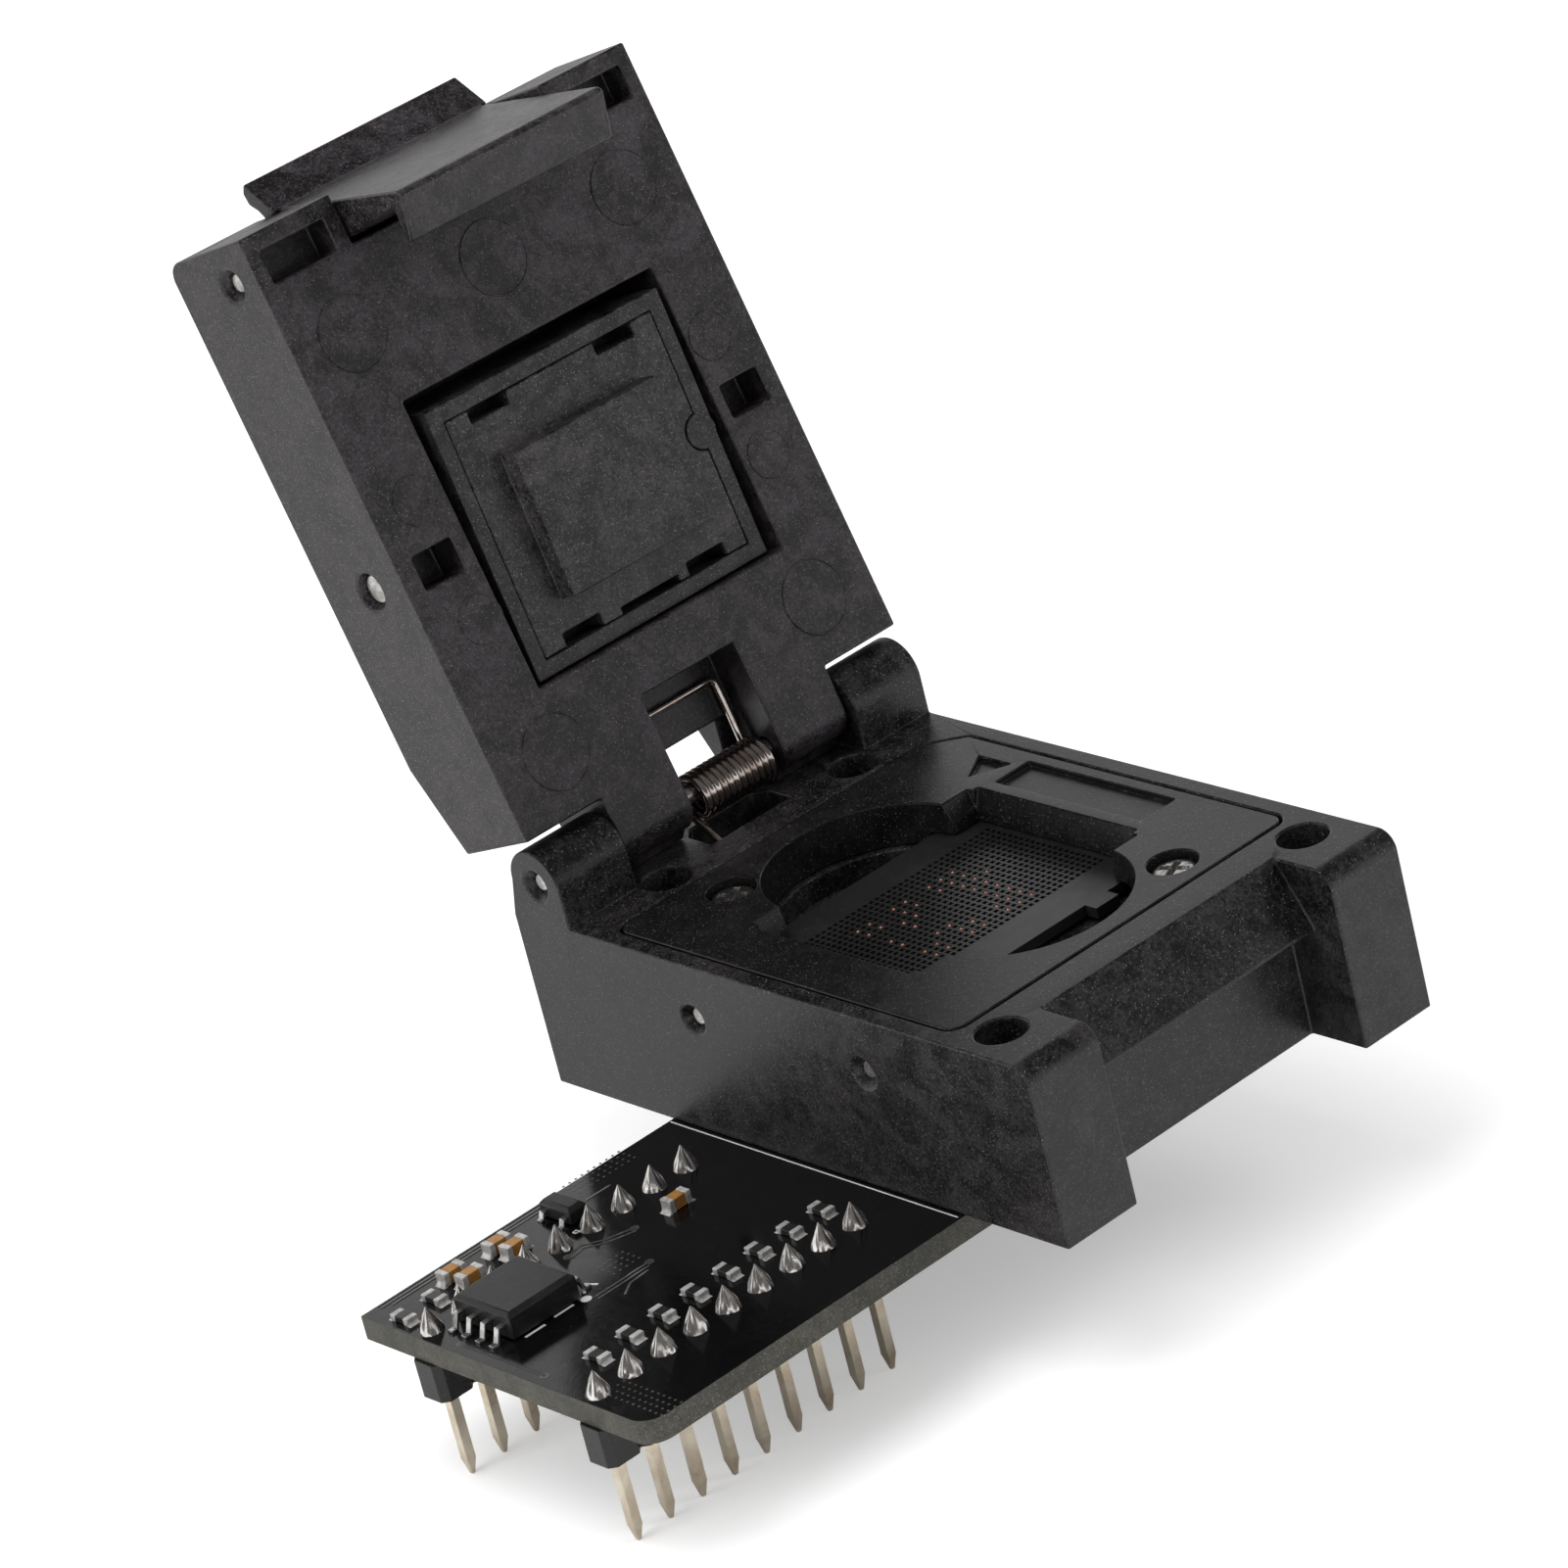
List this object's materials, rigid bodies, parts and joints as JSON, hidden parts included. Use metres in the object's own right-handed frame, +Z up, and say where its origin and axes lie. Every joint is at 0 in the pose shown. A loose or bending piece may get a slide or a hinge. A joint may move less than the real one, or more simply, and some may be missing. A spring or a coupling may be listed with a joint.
{
  "type": "ic test socket",
  "caption": "Clamshell test socket for a ball-grid chip: sprung lid with a hook latch over a contact field, on an adapter board with two rows of header pins.",
  "frame": {"origin": "middle of the two rows of header pins, on the plane where the header strips seat on a host board", "axes": "+X along the hinge from the board's small parts to the socket, +Y from the latch to the hinge, +Z up out of the chip pocket"},
  "size_m": [0.0562, 0.0639, 0.0663],
  "materials": {
    "black_plastic": "fine matt filled thermoplastic",
    "strip_plastic": "satin",
    "pin_gold": "pale gold plating",
    "contact_copper": "bright copper alloy",
    "pin_steel": "ground ends",
    "screw_steel": "plated",
    "spring_steel": "bright drawn wire",
    "board_mask": "glossy black solder mask",
    "solder": "bright solder",
    "lead_tin": "tinned",
    "package_black": "moulded epoxy",
    "capacitor_tan": "ceramic",
    "resistor_black": "glazed"
  },
  "bodies": {
    "base": {"base_body": "black_plastic", "guide_frame": "black_plastic", "contact_block": "black_plastic", "contact_pins": "contact_copper", "plate_springs": "spring_steel", "guide_screws": "screw_steel", "base_dowels": "pin_steel", "hinge_pin": "pin_steel", "circuit_board": "board_mask", "header_strip_front": "strip_plastic", "header_pins_front": "pin_gold", "solder_joints_front": "solder", "header_strip_rear": "strip_plastic", "header_pins_rear": "pin_gold", "solder_joints_rear": "solder", "memory_chip": "package_black", "memory_chip_leads": "lead_tin", "regulator": "package_black", "regulator_leads": "lead_tin", "capacitor_1": "capacitor_tan", "capacitor_2": "capacitor_tan", "capacitor_3": "capacitor_tan", "capacitor_4": "capacitor_tan", "capacitor_5": "capacitor_tan", "resistor_1": "resistor_black", "resistor_2": "resistor_black", "resistor_3": "resistor_black", "resistor_4": "resistor_black", "resistor_5": "resistor_black", "resistor_6": "resistor_black", "resistor_7": "resistor_black", "resistor_8": "resistor_black", "resistor_9": "resistor_black", "resistor_10": "resistor_black"},
    "contact_plate": {"contact_plate": "black_plastic"},
    "lid": {"lid_frame": "black_plastic", "pressure_pin": "pin_steel", "latch_pin": "pin_steel", "pressure_springs": "spring_steel", "latch_springs": "spring_steel", "torsion_spring": "spring_steel"},
    "pressure_frame": {"pressure_frame": "black_plastic", "pressure_insert": "black_plastic"},
    "latch": {"latch": "black_plastic"}
  },
  "joints": [
    {"name": "lid_hinge", "type": "hinge", "parent": "base", "child": "lid", "pos_m": [0.02922, 0.02086, 0.01853], "axis": [1, 0, 0], "range_deg": [0, 108.66], "stiffness_Nm_per_rad": 0.012, "springref_deg": -28.65, "deforming": ["torsion_spring"]},
    {"name": "latch_pivot", "type": "hinge", "parent": "lid", "child": "latch", "pos_m": [0.02922, 0.03505, 0.05645], "axis": [1, 0, 0], "range_deg": [-16, 0], "stiffness_Nm_per_rad": 0.002, "springref_deg": 17.19, "deforming": ["latch_springs"]},
    {"name": "pressure_float", "type": "hinge", "parent": "lid", "child": "pressure_frame", "pos_m": [0.02922, 0.0294, 0.03701], "axis": [1, 0, 0], "range_deg": [-4, 0], "stiffness_Nm_per_rad": 0.004, "deforming": ["pressure_springs"]},
    {"name": "plate_slide", "type": "slide", "parent": "base", "child": "contact_plate", "axis": [0, 0, 1], "range_m": [-0.0003, 0], "stiffness_N_per_m": 60, "springref_m": 0.003, "deforming": ["plate_springs"]}
  ]
}
